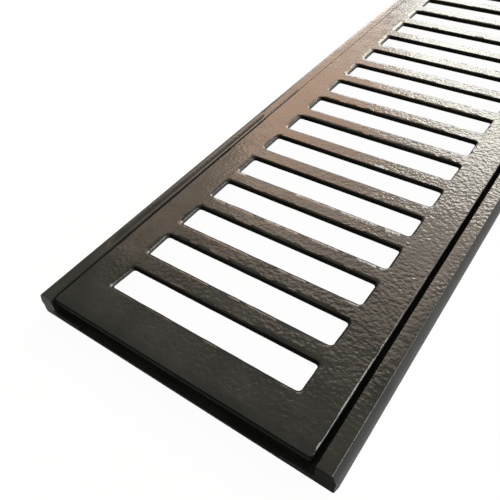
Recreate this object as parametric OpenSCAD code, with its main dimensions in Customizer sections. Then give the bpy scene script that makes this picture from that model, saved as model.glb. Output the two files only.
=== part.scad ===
// Linear channel drain grate: a slotted cast plate that lies loose in a low cast frame.
// The origin is the middle of the frame's underside, X runs across the channel,
// Y runs along it and Z points up. Sizes are in millimetres.

/* [Frame] */
// Length of the frame, which is the length of one module
frame_l = 500; // [300:10:1000]
// Height of the frame, from its underside to the top of its rims
frame_h = 9.4; // [9:0.1:14]
// Width of the flat top of each rim
rim_top_w = 4.5; // [3:0.1:10]
// How far each outer wall swells out below its top edge
wall_swell = 1.7; // [0.8:0.1:2.5]
// Depth over which that swell is reached; the wall is upright below it
swell_depth = 5.5; // [4:0.1:7]
// Bevel along the foot of each outer wall
foot_bevel = 0.6; // [0.2:0.1:1.2]
// Thickness of the ledges and of the webs that join them
base_t = 2.6; // [2:0.1:3]
// Width of each ledge, measured from the inner face of its rim
ledge_w = 5.9; // [5.5:0.1:8]
// Length of the thin web at each end of the frame
web_l = 10; // [6:0.5:13]
// Radius between each rim's inner face and its ledge
inner_fillet_r = 2.6; // [1:0.1:2.8]
// Radius on the inner top edge of each rim
rim_edge_r = 0.5; // [0.2:0.1:1]
// How much of each rim's flat top is taken by the bevel along its outer edge
rim_edge_bevel = 0.3; // [0.1:0.1:0.8]
// Radius in the corners of the frame's open middle
window_corner_r = 4; // [1:0.5:10]

/* [Grate] */
// Width of the slotted plate
grate_w = 99.4; // [70:0.1:150]
// Thickness of the plate outside its slots
plate_t = 3.2; // [2.6:0.1:3.8]
// Radius of the plate's corners, seen from above
plate_corner_r = 2.2; // [1.5:0.1:6]
// Radius on the plate's upper edge, all round
plate_edge_r = 0.7; // [0.4:0.1:1.4]
// Depth of the rim under each end of the plate, measured from the top
end_rim_h = 4.8; // [3.9:0.1:5.4]
// Thickness of the rim under each end of the plate
end_rim_t = 5; // [3:0.1:9]
// Width of each runner that the plate stands on
runner_w = 3; // [2:0.1:3.4]
// Distance from the plate's long edge to its runner
runner_inset = 2.6; // [2.5:0.1:2.8]
// Distance from the plate's end to the start of each runner
runner_setback = 12; // [6:0.5:40]
// Length of the casting stub in the middle of each end
stub_l = 7.3; // [4:0.1:20]
// Thickness of that stub
stub_t = 3.6; // [2:0.1:4.5]
// Radius on the stub's lower corners
stub_r = 0.7; // [0.2:0.1:0.9]

/* [Slots] */
// Distance from one slot to the next
slot_pitch = 18.3; // [15:0.1:40]
// Clear width of a slot
slot_w = 11; // [6:0.1:12]
// Radius in the corners of a slot
slot_corner_r = 1.1; // [0.6:0.1:2.8]
// Radius on the upper edge of a slot
slot_mouth_r = 0.9; // [0.3:0.1:1.4]
// Depth of the upright wall round a slot, measured from the top
slot_edge_t = 1.7; // [1.5:0.1:2.4]
// Width of the keel left under each bar, between two slots that widen below
bar_keel_w = 2.1; // [1:0.1:4]
// Solid plate left beside the slots, along both long edges
side_margin = 13; // [10:0.1:20]
// Least solid plate left before the first slot and after the last one
end_margin_min = 14; // [12:0.5:30]

/* [Fit] */
// Gap between the plate and the left rim
gap_left = 0.2; // [0.1:0.1:1]
// Gap between the plate and the right rim
gap_right = 1.6; // [0.5:0.1:1.9]
// How far each end of the plate lies inside the end of the frame
gap_end = 1; // [0.5:0.1:2]
// Gap between the casting stub and the web below it
stub_gap = 0.5; // [0.3:0.1:0.8]

/* [Hidden] */
$fn = 48;
// How far a cut runs past the face that it opens
over = 1;
opening_w = grate_w + gap_left + gap_right;
rim_w = opening_w + 2 * rim_top_w;
frame_w = rim_w + 2 * wall_swell;
grate_l = frame_l - 2 * gap_end;
grate_x = -opening_w / 2 + gap_left + grate_w / 2;
// The plate's underside, so that its top is flush with the rims
plate_z = frame_h - plate_t;
slot_l = grate_w - 2 * side_margin;
slot_count = 1 + floor((grate_l - 2 * end_margin_min - slot_w) / slot_pitch);
slot_run = (slot_count - 1) * slot_pitch;
slot_relief = (slot_pitch - slot_w - bar_keel_w) / 2;
iron_black = [0.11, 0.11, 0.10];
rim_grey = [0.17, 0.17, 0.17];

// A quarter of a disc, for rounding a corner
module quarter_disc(r) {
    intersection() {
        circle(r);
        square(r);
    }
}

// What a radius leaves over in a square corner: it fills a hollow corner, or is cut
// from a sharp one
module corner_web(r) {
    difference() {
        square(r);
        translate([r, r]) circle(r);
    }
}

// A rectangle with rounded corners, centred
module rounded_rectangle(l, w, r) {
    square([l - 2 * r, w], center = true);
    square([l, w - 2 * r], center = true);
    for (sx = [-1, 1], sy = [-1, 1]) {
        translate([sx * (l / 2 - r), sy * (w / 2 - r)]) circle(r);
    }
}

// Two mirrored half profiles with the solid stretch between them
module whole_profile(half_span, low, high) {
    translate([half_span, 0]) children();
    mirror([1, 0]) translate([half_span, 0]) children();
    translate([-half_span, low]) square([2 * half_span, high - low]);
}

// A block that is a rounded rectangle from above and whose edge follows one half
// profile all the way round: the profile is swept along the sides and turned
// round the corners. It is drawn with x outwards from the corner's centre.
module profiled_block(l, w, r, low, high) {
    half_l = l / 2 - r;
    half_w = w / 2 - r;
    rotate([90, 0, 90]) {
        translate([0, 0, -half_l]) linear_extrude(2 * half_l) whole_profile(half_w, low, high) children();
    }
    rotate([90, 0, 0]) {
        translate([0, 0, -half_w]) linear_extrude(2 * half_w) whole_profile(half_l, low, high) children();
    }
    for (turn = [0, 1], side = [0, 1]) {
        mirror([turn, 0, 0]) mirror([0, side, 0]) {
            translate([half_l, half_w, 0]) rotate_extrude(angle = 90) children();
        }
    }
}

// Edge of the plate: square below, rounded above
module plate_edge_profile() {
    square([plate_corner_r, plate_t - plate_edge_r]);
    square([plate_corner_r - plate_edge_r, plate_t]);
    translate([plate_corner_r - plate_edge_r, plate_t - plate_edge_r]) quarter_disc(plate_edge_r);
}

// Wall of a slot: a rounded mouth, a short upright edge, and a slope below it that
// widens the slot, so that nothing wedges in it and each bar ends in a keel
module slot_wall_profile() {
    mouth_x = slot_corner_r + slot_mouth_r;
    mouth_z = plate_t - slot_mouth_r;
    difference() {
        polygon([
            [0, -over],
            [slot_corner_r + slot_relief, -over],
            [slot_corner_r + slot_relief, 0],
            [slot_corner_r, plate_t - slot_edge_t],
            [slot_corner_r, mouth_z],
            [mouth_x, mouth_z],
            [mouth_x, plate_t + over],
            [0, plate_t + over]
        ]);
        translate([mouth_x, mouth_z]) mirror([1, 0]) quarter_disc(slot_mouth_r);
    }
}

module slots() {
    for (i = [0 : slot_count - 1]) {
        translate([0, i * slot_pitch - slot_run / 2, 0]) {
            profiled_block(slot_l, slot_w, slot_corner_r, -over, plate_t + over) slot_wall_profile();
        }
    }
}

// Runners under both long edges, which stand on the ledges of the frame
module runners() {
    run = grate_l - 2 * runner_setback;
    for (side = [0, 1]) {
        mirror([side, 0, 0]) {
            translate([grate_w / 2 - runner_inset - runner_w, -run / 2, base_t - plate_z]) {
                cube([runner_w, run, plate_z - base_t + over]);
            }
        }
    }
}

// The deeper rim under each end of the plate, with the stub that is left where
// the metal was poured in
module end_rims() {
    rim_w_under = grate_w - 2 * plate_corner_r;
    stub_drop = plate_z - base_t - stub_gap;
    for (side = [0, 1]) {
        mirror([0, side, 0]) translate([0, grate_l / 2, 0]) {
            translate([-rim_w_under / 2, -end_rim_t, plate_t - end_rim_h]) {
                cube([rim_w_under, end_rim_t, end_rim_h - plate_edge_r]);
            }
            rotate([90, 0, 0]) linear_extrude(stub_t) {
                translate([-stub_l / 2, stub_r - stub_drop]) square([stub_l, stub_drop - stub_r + over]);
                translate([stub_r - stub_l / 2, -stub_drop]) square([stub_l - 2 * stub_r, stub_r + over]);
                for (end = [-1, 1]) {
                    translate([end * (stub_l / 2 - stub_r), stub_r - stub_drop]) circle(stub_r);
                }
            }
        }
    }
}

// Half of the frame's section, filled in: an outer wall that swells out in an arc,
// upright below and bevelled at its top and its foot
module half_outline() {
    swell_r = (pow(swell_depth, 2) + pow(wall_swell, 2)) / (2 * wall_swell);
    swell_x = frame_w / 2 - swell_r;
    swell_z = frame_h - swell_depth;
    reach = wall_swell + over;
    difference() {
        union() {
            polygon([
                [0, 0],
                [frame_w / 2 - foot_bevel, 0],
                [frame_w / 2, foot_bevel],
                [frame_w / 2, swell_z],
                [0, swell_z]
            ]);
            translate([0, swell_z]) square([swell_x, swell_depth]);
            translate([swell_x, swell_z]) intersection() {
                circle(swell_r);
                square([swell_r, swell_depth]);
            }
        }
        translate([rim_w / 2, frame_h]) polygon([
            [-rim_edge_bevel, 0],
            [reach, -reach - rim_edge_bevel],
            [reach, over],
            [-rim_edge_bevel, over]
        ]);
    }
}

// Whole section of the frame at one of its end webs
module frame_section() {
    for (side = [0, 1]) {
        mirror([side, 0]) difference() {
            half_outline();
            translate([0, base_t]) square([opening_w / 2, frame_h]);
            translate([opening_w / 2, frame_h]) mirror([0, 1]) corner_web(rim_edge_r);
        }
        mirror([side, 0]) translate([-opening_w / 2, base_t]) corner_web(inner_fillet_r);
    }
}

// One casting: two rims with their ledges, joined by a thin web at each end
module frame() {
    color(rim_grey) difference() {
        rotate([90, 0, 0]) translate([0, 0, -frame_l / 2]) linear_extrude(frame_l) frame_section();
        translate([0, 0, -over]) linear_extrude(base_t + 2 * over) {
            rounded_rectangle(opening_w - 2 * ledge_w, frame_l - 2 * web_l, window_corner_r);
        }
    }
}

// One casting: the slotted plate with the rims and runners under it
module grate() {
    color(iron_black) translate([grate_x, 0, plate_z]) difference() {
        union() {
            profiled_block(grate_w, grate_l, plate_corner_r, 0, plate_t) plate_edge_profile();
            runners();
            end_rims();
        }
        slots();
    }
}

frame();
grate();
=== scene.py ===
# %% [markdown]
# Channel drain grate
# This scene dresses a small drain cover made of two iron-black castings: a slotted
# plate that lies loose in a low frame. The measured solids come first, as a frame
# that fixes every size and place. Each casting is then modelled again over its
# solid, with soft lips, uneven edges and a painted sand-cast skin.

# %% Load the measured solids
import math

import bmesh
import bpy
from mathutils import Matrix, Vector


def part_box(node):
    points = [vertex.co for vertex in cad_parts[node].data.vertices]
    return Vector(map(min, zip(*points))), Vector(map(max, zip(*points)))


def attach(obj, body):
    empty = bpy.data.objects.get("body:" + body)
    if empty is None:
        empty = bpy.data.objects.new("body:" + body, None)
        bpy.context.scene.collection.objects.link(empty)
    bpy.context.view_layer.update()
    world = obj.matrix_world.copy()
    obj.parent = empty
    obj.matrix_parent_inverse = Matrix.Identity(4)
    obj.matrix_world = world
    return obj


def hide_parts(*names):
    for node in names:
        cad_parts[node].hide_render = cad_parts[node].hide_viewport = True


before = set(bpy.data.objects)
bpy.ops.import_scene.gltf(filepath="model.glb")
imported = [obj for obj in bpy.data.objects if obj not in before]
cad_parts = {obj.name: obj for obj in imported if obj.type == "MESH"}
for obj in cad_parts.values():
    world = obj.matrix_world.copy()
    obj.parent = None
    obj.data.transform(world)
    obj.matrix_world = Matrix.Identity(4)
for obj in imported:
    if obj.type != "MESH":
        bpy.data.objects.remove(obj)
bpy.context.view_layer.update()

MM = 0.001

# %% [markdown]
# The camera
# A photograph's viewing angle can be guessed by eye or worked out from straight
# edges. Here it was worked out: the slots are evenly spaced, so their edges give the
# place, the turn and the lens of the camera that saw them.

# %% Set the camera
EYE = (0.08048, -0.30510, 0.14902)
EYE_TURN = (45.012, 3.687, 35.243)
SENSOR_W = 36
LENS = 40.786
NEAR_CLIP = 0.01
bpy.ops.object.camera_add(
    location=EYE, rotation=[math.radians(turn) for turn in EYE_TURN])
camera = bpy.context.object
camera.name = "camera"
camera.data.sensor_width = SENSOR_W
camera.data.lens = LENS
camera.data.clip_start = NEAR_CLIP
bpy.context.scene.camera = camera
print("camera lens in mm:", round(camera.data.lens, 2))

# %% [markdown]
# Tools for shaping by place
# Modelling by hand means picking faces or edges with the mouse and then using an
# operator on them. In a script the picking is done by place and direction instead:
# each helper below clears the selection, selects what passes a test, and leaves the
# shaping to Blender's own operators.

# %% Start a piece as a block
def start_block(name, low, high):
    bpy.ops.object.select_all(action="DESELECT")
    middle = [(a + b) / 2 * MM for a, b in zip(low, high)]
    spans = [(b - a) * MM for a, b in zip(low, high)]
    bpy.ops.mesh.primitive_cube_add(size=1, location=middle, scale=spans)
    piece = bpy.context.object
    piece.name = name
    bpy.ops.object.transform_apply(location=True, rotation=True, scale=True)
    return piece


print("a block is given by its low and high corners in millimetres")

# %% Pick parts of the mesh by place
# How nearly a direction follows an axis, and how close two places count as one
ALONG = 0.9
SLACK = 0.01


def pick(kind, test):
    bpy.ops.mesh.select_mode(type=kind)
    bpy.ops.mesh.select_all(action="DESELECT")
    mesh = bmesh.from_edit_mesh(bpy.context.object.data)
    mesh.normal_update()
    count = 0
    if kind == "FACE":
        parts = [(f, f.calc_center_median() / MM, f.normal) for f in mesh.faces]
    elif kind == "EDGE":
        parts = [(e, (e.verts[0].co + e.verts[1].co) / 2 / MM,
                  (e.verts[1].co - e.verts[0].co).normalized()) for e in mesh.edges]
    else:
        parts = [(v, v.co / MM, v.normal) for v in mesh.verts]
    for part, place, way in parts:
        if test(place, way):
            part.select_set(True)
            count += 1
    mesh.select_flush_mode()
    bmesh.update_edit_mesh(bpy.context.object.data)
    return count


def near(a, b, slack=SLACK):
    return abs(a - b) < slack


print("faces, edges and points are picked by place and direction")

# %% Cut, draw out and bevel
AXES = {"x": Vector((1, 0, 0)), "y": Vector((0, 1, 0)), "z": Vector((0, 0, 1))}
CUT_SLACK = 1e-6


def cut(axis, places):
    for place in places:
        bpy.ops.mesh.select_all(action="SELECT")
        bpy.ops.mesh.bisect(plane_co=AXES[axis] * place * MM, plane_no=AXES[axis],
                            threshold=CUT_SLACK)


def draw_out(x=0, y=0, z=0):
    bpy.ops.mesh.extrude_region_move(
        TRANSFORM_OT_translate={"value": (x * MM, y * MM, z * MM)})


def round_edges(radius, steps):
    bpy.ops.mesh.bevel(offset=radius * MM, offset_type="OFFSET", segments=steps,
                       affect="EDGES", profile=0.5)


def steps_between(low, high, step):
    count = max(1, round((high - low) / step))
    return [low + (high - low) * i / count for i in range(1, count)]


print("cuts, extrusions and bevels are given in millimetres")

# %% Apply a modifier
def take(piece):
    bpy.ops.object.select_all(action="DESELECT")
    piece.select_set(True)
    bpy.context.view_layer.objects.active = piece


def apply_modifier(piece, kind, **settings):
    take(piece)
    modifier = piece.modifiers.new(kind.lower(), kind)
    for name, value in settings.items():
        setattr(modifier, name, value)
    bpy.ops.object.modifier_apply(modifier=modifier.name)


def clouds(name, size):
    texture = bpy.data.textures.new(name, "CLOUDS")
    texture.noise_scale = size * MM
    texture.noise_depth = 1
    return texture


print("modifiers are applied as soon as they are set")

# %% [markdown]
# The slotted plate
# On the real object this is one casting, poured in sand: a flat plate with softly
# rounded edges, a deeper lip under each end and two runners that it stands on. It
# could be cut from a flat sheet outline, but then it would have no underside. It
# starts as a block instead, so it is a closed solid from the first step.

# %% Block out the plate
plate_low, plate_high = [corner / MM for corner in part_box("grate")]
PLATE_T = 3.2
PLATE_CORNER_R = 1.2
PLATE_CORNER_STEPS = 5
PLATE_EDGE_R = 0.6
PLATE_EDGE_STEPS = 4
top = plate_high.z
plate_x = (plate_low.x + plate_high.x) / 2
plate_bottom = top - PLATE_T

plate = start_block("cast_plate", (plate_low.x, plate_low.y, plate_bottom),
                    (plate_high.x, plate_high.y, top))
bpy.ops.object.mode_set(mode="EDIT")
pick("EDGE", lambda place, way: abs(way.z) > ALONG)
round_edges(PLATE_CORNER_R, PLATE_CORNER_STEPS)
pick("EDGE", lambda place, way: near(place.z, top))
round_edges(PLATE_EDGE_R, PLATE_EDGE_STEPS)
bpy.ops.object.mode_set(mode="OBJECT")
print("plate blocked out,", len(plate.data.polygons), "faces")

# %% [markdown]
# What is under the plate
# The lip and the runners are part of the same casting. Adding separate blocks would
# leave walls inside the metal, so the underside is cut where they start and the
# faces between the cuts are drawn down.

# %% Draw down the end lips, the stubs and the runners
END_RIM_H = 4.8
END_RIM_T = 5
STUB_L = 7.3
STUB_T = 3.6
STUB_DROP = 3.1
RUNNER_W = 3
RUNNER_INSET = 2.6
RUNNER_SETBACK = 12
half_w = (plate_high.x - plate_low.x) / 2
end_y = plate_high.y
run_y = end_y - RUNNER_SETBACK
runner_outer = half_w - RUNNER_INSET
runner_inner = runner_outer - RUNNER_W
lip_x = half_w - PLATE_CORNER_R

bpy.ops.object.mode_set(mode="EDIT")
cut("x", [plate_x + side * x for side in (-1, 1)
          for x in (lip_x, runner_outer, runner_inner, STUB_L / 2)])
cut("y", [side * y for side in (-1, 1)
          for y in (end_y - END_RIM_T, end_y - STUB_T, run_y)])
pick("FACE", lambda place, way: way.z < -ALONG and abs(place.y) > end_y - END_RIM_T
     and abs(place.x - plate_x) < lip_x)
draw_out(z=PLATE_T - END_RIM_H)
pick("FACE", lambda place, way: way.z < -ALONG and near(place.z, top - END_RIM_H)
     and abs(place.y) > end_y - STUB_T and abs(place.x - plate_x) < STUB_L / 2)
draw_out(z=END_RIM_H - PLATE_T - STUB_DROP)
pick("FACE", lambda place, way: way.z < -ALONG and abs(place.y) < run_y
     and runner_inner < abs(place.x - plate_x) < runner_outer)
draw_out(z=plate_low.z - plate_bottom)
bpy.ops.object.mode_set(mode="OBJECT")
print("underside drawn down,", len(plate.data.polygons), "faces")

# %% [markdown]
# One slot, then all of them
# Each slot has a rounded mouth, a short upright edge and a slope below that widens
# it, so that leaves do not wedge. Insetting the plate's own top 26 times would be
# slow and hard to read. One tool block with the slot's shape is modelled, repeated
# along the plate, and taken away from it.

# %% Model the block that leaves one slot
SLOT_PITCH = 18.3
SLOT_COUNT = 26
SLOT_W = 10.6
SLOT_SIDE_MARGIN = 12.75
SLOT_SHIFT_X = -0.25
SLOT_SHIFT_Y = 0.25
SLOT_CORNER_R = 1.1
SLOT_CORNER_STEPS = 6
SLOT_MOUTH_R = 1.05
SLOT_MOUTH_STEPS = 6
SLOT_EDGE_T = 1.7
SLOT_RELIEF = 2.6
SPARE = 0.5
slot_l = 2 * (half_w - SLOT_SIDE_MARGIN)
slot_mid = plate_x + SLOT_SHIFT_X
first_y = SLOT_SHIFT_Y - (SLOT_COUNT - 1) * SLOT_PITCH / 2

mouth_l = slot_l + 2 * SLOT_MOUTH_R
mouth_w = SLOT_W + 2 * SLOT_MOUTH_R
slot_tool = start_block(
    "slot_tool", (slot_mid - mouth_l / 2, first_y - mouth_w / 2, top),
    (slot_mid + mouth_l / 2, first_y + mouth_w / 2, top + SPARE))
bpy.ops.object.mode_set(mode="EDIT")
pick("EDGE", lambda place, way: abs(way.z) > ALONG)
round_edges(SLOT_CORNER_R + SLOT_MOUTH_R, SLOT_CORNER_STEPS)
pick("FACE", lambda place, way: way.z < -ALONG)
for step in range(SLOT_MOUTH_STEPS):
    a = math.pi / 2 * step / SLOT_MOUTH_STEPS
    b = math.pi / 2 * (step + 1) / SLOT_MOUTH_STEPS
    bpy.ops.mesh.inset(
        thickness=SLOT_MOUTH_R * (math.sin(b) - math.sin(a)) * MM,
        depth=SLOT_MOUTH_R * (math.cos(a) - math.cos(b)) * MM)
draw_out(z=SLOT_MOUTH_R - SLOT_EDGE_T)
draw_out(z=SLOT_EDGE_T - PLATE_T)
bpy.ops.transform.resize(
    value=((slot_l + 2 * SLOT_RELIEF) / slot_l, (SLOT_W + 2 * SLOT_RELIEF) / SLOT_W, 1),
    center_override=(slot_mid * MM, first_y * MM, plate_bottom * MM))
draw_out(z=-SPARE)
bpy.ops.object.mode_set(mode="OBJECT")
print("slot tool:", len(slot_tool.data.polygons), "faces")

# %% [markdown]
# The row of slots
# Copies could be placed in a loop, but an array modifier keeps their spacing in one
# number. The first slot's far left corner was cast fuller than the others, so that
# corner of the first tool is moved in before the row is taken away.

# %% Repeat it and take it away
FULL_CORNER = 2.4
corner_fill = FULL_CORNER / 4
apply_modifier(slot_tool, "ARRAY", count=SLOT_COUNT, use_relative_offset=False,
               use_constant_offset=True,
               constant_offset_displace=(0, SLOT_PITCH * MM, 0))
bpy.ops.object.mode_set(mode="EDIT")
pick("VERT", lambda place, way: place.y < first_y + SLOT_PITCH / 2
     and place.x - slot_mid < FULL_CORNER - slot_l / 2
     and place.y - first_y > SLOT_W / 2 - FULL_CORNER)
bpy.ops.transform.translate(value=(corner_fill * MM, -corner_fill * MM, 0))
bpy.ops.object.mode_set(mode="OBJECT")
apply_modifier(plate, "BOOLEAN", object=slot_tool, operation="DIFFERENCE",
               solver="EXACT")
bpy.data.objects.remove(slot_tool)
print("slots cut,", len(plate.data.polygons), "faces")

# %% [markdown]
# Uneven edges
# Sand casting never leaves a ruled line: the lips wander by a few tenths of a
# millimetre. A pattern of light and dark in the paint could fake that, but the
# outline would stay straight. The mesh is cut fine enough to bend, and clouds of
# noise then press it in, most of all along the lips.

# %% Cut the plate fine and let its edges wander
FINE = 1.8
LIP_DEPTH = 1.3
# How far below the top the painted shade on the plate's ends starts, and how much its
# end edges sink, over which reach
END_BAND = 1.9
END_SOFTENING = 0.2
END_SOFT_REACH = 2.4
PLATE_WANDER = 0.24
PLATE_WANDER_SIZE = 6
PLATE_SAG = 0.10
SAG_SIZE = 9
take(plate)
bpy.ops.object.mode_set(mode="EDIT")
cut("z", [top - END_BAND])
cut("x", steps_between(plate_low.x + PLATE_CORNER_R, plate_high.x - PLATE_CORNER_R, FINE))
cut("y", steps_between(plate_low.y + PLATE_CORNER_R, plate_high.y - PLATE_CORNER_R, FINE))
pick("VERT", lambda place, way: abs(place.y) > end_y - PLATE_EDGE_R
     and place.z > top - PLATE_EDGE_R - SLACK)
bpy.ops.transform.translate(
    value=(0, 0, -END_SOFTENING * MM), use_proportional_edit=True,
    proportional_size=END_SOFT_REACH * MM, proportional_edit_falloff="SMOOTH")
on_lips = pick("VERT", lambda place, way: top - LIP_DEPTH < place.z < top - SLACK)
bpy.ops.object.vertex_group_assign_new()
plate.vertex_groups[-1].name = "lips"
bpy.ops.object.mode_set(mode="OBJECT")
apply_modifier(plate, "DISPLACE", texture=clouds("wander", PLATE_WANDER_SIZE),
               mid_level=1, strength=PLATE_WANDER * MM, vertex_group="lips",
               texture_coords="LOCAL")
apply_modifier(plate, "DISPLACE", texture=clouds("sag", SAG_SIZE), mid_level=1,
               strength=PLATE_SAG * MM, texture_coords="LOCAL")
print(on_lips, "points on the lips,", len(plate.data.polygons), "faces")

# %% [markdown]
# The seam that closes
# The plate leans against the left rim, and along the far part the two edges meet so
# closely that the seam hardly shows. Moving the plate over would spoil its place.
# The rounding there is drawn in towards its own corner instead, which leaves a
# tighter edge. The rim gets the same later.

# %% Tighten the plate's left edge
SEAM_STARTS = ((-150, 0.75), (-122, 0.6), (-95, 0.55))
EDGE_REACH = 0.8
SEAM_REACH = 0.1
PLATE_SEAM = 0.02


def tighten(corner_x, low_x, high_x):
    for start, share in SEAM_STARTS:
        pick("VERT", lambda place, way: low_x < place.x < high_x
             and place.z > top - EDGE_REACH and place.y > start)
        bpy.ops.transform.resize(value=(share, 1, 1),
                                 center_override=(corner_x * MM, 0, top * MM))


bpy.ops.object.mode_set(mode="EDIT")
tighten(plate_low.x + PLATE_SEAM, plate_low.x - SEAM_REACH, plate_low.x + EDGE_REACH)
bpy.ops.object.mode_set(mode="OBJECT")
print("left edge tightened beyond y", SEAM_STARTS[0][0])

# %% [markdown]
# The frame
# The frame is a second casting: two low rims with a ledge inside each, joined by a
# thin web at both ends. Sweeping a drawn section along a path would be quick but
# would leave the webs out. Half of it is drawn out of one block and mirrored.

# %% Draw out half of the frame
_, frame_high = [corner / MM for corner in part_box("frame")]
RIM_TOP_W = 4.9
WALL_SWELL = 1.3
BASE_T = 2.6
LEDGE_W = 5.9
WEB_L = 10
frame_x = frame_high.x
rim_x = frame_x - WALL_SWELL
inner_x = rim_x - RIM_TOP_W
ledge_x = inner_x - LEDGE_W
frame_end = frame_high.y
frame_top = frame_high.z

rims = start_block("cast_rims", (ledge_x, -frame_end, 0), (frame_x, frame_end, BASE_T))
bpy.ops.object.mode_set(mode="EDIT")
cut("x", [inner_x])
pick("FACE", lambda place, way: way.z > ALONG and place.x > inner_x)
draw_out(z=frame_top - BASE_T)
cut("y", [frame_end - WEB_L, WEB_L - frame_end])
pick("FACE", lambda place, way: near(place.x, ledge_x)
     and abs(place.y) > frame_end - WEB_L)
draw_out(x=-ledge_x)
pick("FACE", lambda place, way: near(place.x, 0) and abs(way.x) > ALONG)
bpy.ops.mesh.delete(type="ONLY_FACE")
print("half a frame drawn out")

# %% [markdown]
# The rim's shape
# The outer wall swells out in an arc below its top edge. It could be bevelled, but a
# bevel always ends level with the faces beside it. The wall is cut across at a few
# heights instead, and each cut is moved in to the arc.

# %% Curve the outer wall and soften the edges
SWELL_DEPTH = 5.5
SWELL_STEPS = 6
RIM_EDGE_BEVEL = 0.3
RIM_EDGE_R = 0.5
RIM_EDGE_STEPS = 3
INNER_FILLET_R = 2.6
INNER_FILLET_STEPS = 6
FOOT_BEVEL = 0.6
FOOT_BEVEL_STEPS = 2
WINDOW_CORNER_R = 4
WINDOW_CORNER_STEPS = 6
swell_r = (SWELL_DEPTH ** 2 + WALL_SWELL ** 2) / (2 * WALL_SWELL)
foot_z = frame_top - SWELL_DEPTH
levels = [foot_z + SWELL_DEPTH * i / SWELL_STEPS for i in range(SWELL_STEPS + 1)]
cut("z", levels[:-1])
for level in levels:
    pull = swell_r - math.sqrt(swell_r ** 2 - (level - foot_z) ** 2)
    pick("VERT", lambda place, way: near(place.x, frame_x) and near(place.z, level))
    bpy.ops.transform.translate(value=(-pull * MM, 0, 0))
for edge_x, edge_z, radius, steps in (
        (rim_x, frame_top, RIM_EDGE_BEVEL, RIM_EDGE_STEPS),
        (inner_x, frame_top, RIM_EDGE_R, RIM_EDGE_STEPS),
        (inner_x, BASE_T, INNER_FILLET_R, INNER_FILLET_STEPS),
        (frame_x, 0, FOOT_BEVEL, FOOT_BEVEL_STEPS)):
    pick("EDGE", lambda place, way: abs(way.y) > ALONG and near(place.x, edge_x)
         and near(place.z, edge_z))
    round_edges(radius, steps)
pick("EDGE", lambda place, way: abs(way.z) > ALONG and near(place.x, ledge_x)
     and near(abs(place.y), frame_end - WEB_L))
round_edges(WINDOW_CORNER_R, WINDOW_CORNER_STEPS)
bpy.ops.object.mode_set(mode="OBJECT")
print("rim shaped,", len(rims.data.polygons), "faces")

# %% [markdown]
# The whole frame
# Modelling the second half by hand could leave the two unlike. A mirror makes them
# the same and joins them down the middle. The webs are then thinned from above.

# %% Mirror the half and thin the webs
WEB_T = 1.4
WEB_STEP = 5
apply_modifier(rims, "MIRROR", use_mirror_merge=True, merge_threshold=SLACK * MM)
bpy.ops.object.mode_set(mode="EDIT")
bpy.ops.mesh.select_all(action="SELECT")
bpy.ops.mesh.remove_doubles(threshold=SLACK * MM)
bpy.ops.mesh.normals_make_consistent(inside=False)
bpy.ops.object.mode_set(mode="OBJECT")
thin_x = ledge_x - WEB_STEP
web_tool = start_block("web_tool", (-thin_x, -frame_end - SPARE, WEB_T),
                       (thin_x, frame_end + SPARE, BASE_T + SPARE))
apply_modifier(rims, "BOOLEAN", object=web_tool, operation="DIFFERENCE", solver="EXACT")
bpy.data.objects.remove(web_tool)
print("frame mirrored,", len(rims.data.polygons), "faces")

# %% [markdown]
# The rims' own marks
# The rims were cast like the plate, so their inner lips wander too. Their outer feet
# draw in a little at the ends, and a long scratch runs down the left rim. Scratches
# are often drawn in the paint, but this one is deep enough to catch a shadow, so it
# is pressed into the metal.

# %% Let the rims wander and press in the scratch
FOOT_FLARE = 0.4
WALL_INSET = 0.4
REACH = 0.1
RIM_WANDER = 0.45
RIM_WANDER_SIZE = 5
RIM_SAG = 0.06
SCRATCH_X = -52.8
SCRATCH_HALF_W = 0.3
SCRATCH_DEPTH = 0.2
SCRATCH_START = -218
SCRATCH_END = -122
RIM_SEAM = 0.1
take(rims)
bpy.ops.object.mode_set(mode="EDIT")
cut("y", steps_between(-frame_end, frame_end, FINE))
for side in (-1, 1):
    pick("VERT", lambda place, way: side * place.x > rim_x + WALL_INSET
         and abs(place.y) > frame_end - REACH and place.z < foot_z + REACH)
    bpy.ops.transform.translate(value=(-side * FOOT_FLARE * MM, 0, 0))
rim_lips = pick(
    "VERT", lambda place, way: frame_top - LIP_DEPTH < place.z < frame_top - SLACK
    and abs(place.x) < inner_x + REACH and abs(place.y) < frame_end - REACH)
bpy.ops.object.vertex_group_assign_new()
rims.vertex_groups[-1].name = "lips"
bpy.ops.object.mode_set(mode="OBJECT")
apply_modifier(rims, "DISPLACE", texture=clouds("rim_wander", RIM_WANDER_SIZE),
               mid_level=1, strength=RIM_WANDER * MM, vertex_group="lips",
               texture_coords="LOCAL")
apply_modifier(rims, "DISPLACE", texture=clouds("rim_sag", SAG_SIZE), mid_level=1,
               strength=RIM_SAG * MM, texture_coords="LOCAL")
bpy.ops.object.mode_set(mode="EDIT")
cut("x", [SCRATCH_X - SCRATCH_HALF_W, SCRATCH_X, SCRATCH_X + SCRATCH_HALF_W])
pick("VERT", lambda place, way: near(place.x, SCRATCH_X, REACH)
     and near(place.z, frame_top, REACH) and SCRATCH_START < place.y < SCRATCH_END)
bpy.ops.transform.translate(value=(0, 0, -SCRATCH_DEPTH * MM))
tighten(RIM_SEAM - inner_x, -inner_x - EDGE_REACH, RIM_SEAM - inner_x)
bpy.ops.object.mode_set(mode="OBJECT")
print(rim_lips, "points on the rims' lips,", len(rims.data.polygons), "faces")

# %% [markdown]
# Smooth faces
# Smooth shading hides the steps in the rounded lips, but it would also smear the
# crisp edges. Only faces that meet at a low angle are shaded as one.

# %% Smooth the faces of both castings
SMOOTH_ANGLE = math.radians(34)
for piece in (plate, rims):
    take(piece)
    bpy.ops.object.shade_smooth_by_angle(angle=SMOOTH_ANGLE)
print("smooth shading up to", round(math.degrees(SMOOTH_ANGLE)), "degrees")

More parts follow.
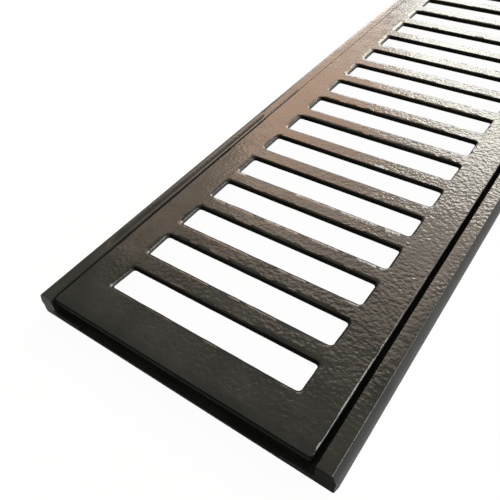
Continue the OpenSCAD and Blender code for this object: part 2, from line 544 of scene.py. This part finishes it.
# %% [markdown]
# The paint
# Both castings are sprayed black over raw sand-cast metal. The skin is glossy but
# pebbled, with bumps a millimetre or two across, so its highlights break up into
# short dashes, more at the right and far along than at the near left. A photograph
# of cast metal could be wrapped on, but it would slide and repeat. Noise in several
# sizes is used instead, read from the object's own coordinates, so it is fixed to
# the metal.

# %% Mix a cast paint
# The stretches over which the relief grows, and its share at the near end
ROUGH_FROM_X = -50
ROUGH_TO_X = 25
ROUGH_FROM_Y = -240
ROUGH_TO_Y = -165
NEAR_END_CALM = 0.7
# Sizes of the patches of tint, of gloss and of stronger relief
TINT_SIZE = 14
GLOSS_SIZE = 5
PATCH_SIZE = 22


def cast_paint(name, dark, light, gloss, rough, pebble, pebble_size, grain,
               specular=0.5, calm=1.0):
    """Paint over cast metal; calm is how much relief is left at the left edge."""
    material = bpy.data.materials.new(name)
    material.use_nodes = True
    nodes, links = material.node_tree.nodes, material.node_tree.links
    shader = nodes["Principled BSDF"]
    shader.inputs["Specular IOR Level"].default_value = specular
    place = nodes.new("ShaderNodeTexCoord")

    def noise(size, detail):
        node = nodes.new("ShaderNodeTexNoise")
        node.inputs["Scale"].default_value = 1 / (size * MM)
        node.inputs["Detail"].default_value = detail
        links.new(place.outputs["Object"], node.inputs["Vector"])
        return node.outputs["Fac"]

    def spread(value, from_min, from_max, to_min, to_max):
        node = nodes.new("ShaderNodeMapRange")
        for socket, number in (("From Min", from_min), ("From Max", from_max),
                               ("To Min", to_min), ("To Max", to_max)):
            node.inputs[socket].default_value = number
        links.new(value, node.inputs["Value"])
        return node.outputs["Result"]

    def times(first, second):
        node = nodes.new("ShaderNodeMath")
        node.operation = "MULTIPLY"
        links.new(first, node.inputs[0])
        links.new(second, node.inputs[1])
        return node.outputs[0]

    tint = nodes.new("ShaderNodeValToRGB")
    for element, position, colour in zip(tint.color_ramp.elements, (0.35, 0.65),
                                         (dark, light)):
        element.position = position
        element.color = (*colour, 1)
    links.new(noise(TINT_SIZE, detail=3), tint.inputs["Fac"])
    links.new(tint.outputs["Color"], shader.inputs["Base Color"])
    links.new(spread(noise(GLOSS_SIZE, detail=2), 0.3, 0.7, gloss, rough),
              shader.inputs["Roughness"])

    axes = nodes.new("ShaderNodeSeparateXYZ")
    links.new(place.outputs["Object"], axes.inputs["Vector"])
    across = spread(axes.outputs["X"], ROUGH_FROM_X * MM, ROUGH_TO_X * MM, calm, 1)
    along = spread(axes.outputs["Y"], ROUGH_FROM_Y * MM, ROUGH_TO_Y * MM,
                   NEAR_END_CALM, 1)
    patches = spread(noise(PATCH_SIZE, detail=1), 0.35, 0.65, 0.7, 1.2)
    strength = times(times(across, along), patches)
    relief = None
    for size, detail, height in ((pebble_size, 1, pebble), (pebble_size / 3, 2, grain)):
        bump = nodes.new("ShaderNodeBump")
        bump.inputs["Strength"].default_value = 1
        bump.inputs["Distance"].default_value = height * MM
        links.new(times(noise(size, detail), strength), bump.inputs["Height"])
        if relief:
            links.new(relief, bump.inputs["Normal"])
        relief = bump.outputs["Normal"]
    links.new(relief, shader.inputs["Normal"])
    return material


skin = cast_paint("pebbled_black_paint", (0.022, 0.022, 0.019), (0.036, 0.035, 0.031),
                  0.13, 0.23, 0.21, 1.4, 0.012, calm=0.3)
# Painted shade for the slots' walls and lips, the undersides and the rims' ends
wall = cast_paint("painted_shade_in_the_slots", (0.008, 0.008, 0.007),
                  (0.014, 0.014, 0.013), 0.60, 0.70, 0.14, 1.2, 0.05, specular=0.04)
# Painted shade for the plate's rounded end edges and the lower part of their ends
shade = cast_paint("painted_shade_on_the_plate_ends", (0.010, 0.010, 0.009),
                   (0.014, 0.014, 0.013), 0.60, 0.70, 0.10, 1.2, 0.05, specular=0)
end_wall = cast_paint("glossy_paint_on_the_slot_ends", (0.020, 0.021, 0.021),
                      (0.032, 0.033, 0.034), 0.18, 0.30, 0.20, 0.9, 0.04)
side = cast_paint("satin_black_paint", (0.026, 0.027, 0.026), (0.038, 0.039, 0.038),
                  0.50, 0.56, 0.03, 3.0, 0.01, specular=0.14)
print("paints:", skin.name, wall.name, shade.name, end_wall.name, side.name)

# %% [markdown]
# Where each paint goes
# Painting by hand would mean picking hundreds of faces. Each face is picked by its
# place and the way it looks instead: the tops stay glossy, the rims' sides get the
# satin paint, and the walls of the slots, the lips that turn down or away, the
# undersides and the ends of the plate and the rims get a painted shade in near black.

# %% Give each face its paint
# A face that looks up less than these shares is in shade, a dark lip or a rim's side
STEEP = 0.3
LIP_STEEP = 0.82
SIDE_STEEP = 0.6
# A lip that leans more than this to the far end is dark too, and an end has to face
# its way at least this squarely
LIP_TILT = 0.2
FACING = 0.7
# The dark lips start this far inside a slot's left end and stop this far outside its
# right end
LEFT_SPARE = 0.4
RIGHT_SPARE = 1.2
# How far outside and inside a slot's left end its glossy end wall lies
END_WALL_OUT = 2
END_WALL_IN = 1
# How far in from the plate's ends their painted shade goes
PLATE_END_DEPTH = 1
slot_x = slot_l / 2


def coat(piece, first, *others):
    piece.data.materials.clear()
    piece.data.materials.append(first)
    take(piece)
    for paint, test in others:
        piece.data.materials.append(paint)
        bpy.ops.object.mode_set(mode="EDIT")
        count = pick("FACE", test)
        piece.active_material_index = len(piece.data.materials) - 1
        bpy.ops.object.material_slot_assign()
        bpy.ops.object.mode_set(mode="OBJECT")
        print(piece.name, "has", count, "faces in", paint.name)


def in_slot_shade(place, way):
    in_slot = LEFT_SPARE - slot_x < place.x - slot_mid < slot_x + RIGHT_SPARE
    return way.z < STEEP or (in_slot and (way.z < LIP_STEEP or way.y > LIP_TILT))


def in_end_shade(place, way):
    return abs(place.y) > end_y - PLATE_END_DEPTH and (
        STEEP < way.z < ALONG or (way.z > -STEEP and place.z < top - END_BAND))


def on_left_end(place, way):
    return (way.x > FACING and way.z > -STEEP
            and -END_WALL_OUT - slot_x < place.x - slot_mid < END_WALL_IN - slot_x)


coat(plate, skin, (wall, in_slot_shade), (shade, in_end_shade), (end_wall, on_left_end))
# The rims' ends get the slots' painted shade
coat(rims, skin, (side, lambda place, way: way.z < SIDE_STEEP),
     (wall, lambda place, way: abs(way.y) > FACING and place.x > -inner_x))

# %% [markdown]
# Tie the castings to the measured solids
# Each new casting stands in for one solid and rides on the same body.

# %% Replace the solids
for piece, node, slot in ((plate, "grate", "grate_paint"), (rims, "frame", "rim_paint")):
    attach(piece, "root")
    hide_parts(node)
    triangles = sum(len(face.vertices) - 2 for face in piece.data.polygons)
    print(piece.name, "replaces", node, "with", triangles, "triangles")

# %% [markdown]
# The floor
# The photograph has a pure white ground. More light on the floor would wash out the
# black paint, so most of the floor's white is given off only to the camera and to
# what mirrors it, and the rest is ordinary white paint that takes the shadow.

# %% Lay the floor
FLOOR_SIZE = 12
FLOOR_DROP = 0.2
FLOOR_WHITE = (0.55, 0.55, 0.55, 1)
GLOW_STRENGTH = 1.04
GLOW_SHARE = 0.93
bpy.ops.object.select_all(action="DESELECT")
bpy.ops.mesh.primitive_plane_add(size=FLOOR_SIZE, location=(0, 0, -FLOOR_DROP * MM))
floor = bpy.context.object
floor.name = "studio_floor"
white = bpy.data.materials.new("white_floor")
white.use_nodes = True
nodes, links = white.node_tree.nodes, white.node_tree.links
matt = nodes["Principled BSDF"]
matt.inputs["Base Color"].default_value = FLOOR_WHITE
matt.inputs["Roughness"].default_value = 0.9
matt.inputs["Specular IOR Level"].default_value = 0.1
glow = nodes.new("ShaderNodeEmission")
glow.inputs["Strength"].default_value = GLOW_STRENGTH
rays = nodes.new("ShaderNodeLightPath")
seen = rays.outputs["Is Camera Ray"]
for kind in ("Is Glossy Ray", "Is Transmission Ray"):
    adder = nodes.new("ShaderNodeMath")
    adder.operation = "ADD"
    adder.use_clamp = True
    links.new(seen, adder.inputs[0])
    links.new(rays.outputs[kind], adder.inputs[1])
    seen = adder.outputs[0]
share = nodes.new("ShaderNodeMath")
share.operation = "MULTIPLY"
share.inputs[1].default_value = GLOW_SHARE
mixer = nodes.new("ShaderNodeMixShader")
links.new(seen, share.inputs[0])
links.new(share.outputs[0], mixer.inputs["Fac"])
links.new(matt.outputs[0], mixer.inputs[1])
links.new(glow.outputs[0], mixer.inputs[2])
links.new(mixer.outputs[0], nodes["Material Output"].inputs["Surface"])
floor.data.materials.append(white)
print("floor laid, glow share", GLOW_SHARE)

# %% [markdown]
# The light
# Black gloss paint shows little of its own colour: what the eye reads is the room in
# it. The far half of the plate mirrors a bright low window beyond its end, its left
# side mirrors a warm brown wall, its right edge catches a window at the side, and
# the near half mirrors the upper wall and the dim air over it. A lamp turned by hand
# would need many tries, so each soft panel is placed by the part of the room it
# fills: its bearing from the far end and its height above the floor.

# %% Light the room
ROOM_R = 3
AIR_COLOUR = (0.27, 0.28, 0.26, 1)


def panel(name, bearing, spread, low, high, shine, colour):
    """A soft panel that fills a stretch of the room, in degrees, at a given shine."""
    turn, rise = math.radians(bearing), math.radians((low + high) / 2)
    way = Vector((math.sin(turn) * math.cos(rise), math.cos(turn) * math.cos(rise),
                  math.sin(rise)))
    bpy.ops.object.light_add(type="AREA", location=way * ROOM_R)
    lamp = bpy.context.object
    lamp.name = name
    lamp.data.shape = "RECTANGLE"
    lamp.data.size = 2 * ROOM_R * math.tan(math.radians(spread / 2)) * math.cos(rise)
    lamp.data.size_y = 2 * ROOM_R * math.tan(math.radians((high - low) / 2))
    lamp.data.energy = shine * math.pi * lamp.data.size * lamp.data.size_y
    lamp.data.color = colour
    lamp.rotation_euler = (-way).to_track_quat("-Z", "Y").to_euler()
    print(name, "spans bearings", bearing - spread / 2, "to", bearing + spread / 2)


panel("far_window", 5, 54, 25, 33, 12.0, (1.0, 0.99, 0.87))
panel("window_top", 6, 50, 33, 38, 10.0, (1.0, 0.95, 0.86))
panel("window_sill", 2, 74, 5, 22, 5.5, (1.0, 0.98, 0.93))
panel("brown_wall", -32, 20, 27, 38, 4.1, (1.0, 0.61, 0.41))
panel("wall_foot", -32, 16, 12, 27, 3.0, (1.0, 0.74, 0.58))
panel("shaded_wall", -52, 18, 30, 47, 1.3, (1.0, 0.72, 0.52))
panel("upper_wall", -14, 60, 38, 50, 2.8, (1.0, 0.81, 0.65))
panel("wall_top", -14, 56, 50, 57, 1.3, (1.0, 0.82, 0.66))
panel("side_window", 68, 20, 6, 34, 8.0, (1.0, 1.0, 1.0))
panel("side_wall", 47, 22, 6, 34, 2.2, (1.0, 0.99, 0.96))

world = bpy.data.worlds.new("room")
bpy.context.scene.world = world
world.use_nodes = True
air = world.node_tree.nodes["Background"]
air.inputs["Color"].default_value = AIR_COLOUR
air.inputs["Strength"].default_value = 1
bpy.context.scene.view_settings.view_transform = "Standard"
print("room lit")

# %% [markdown]
# The end
# Nothing more is built; the last cell only prints a closing line.

# %% Finish
print("scene built")
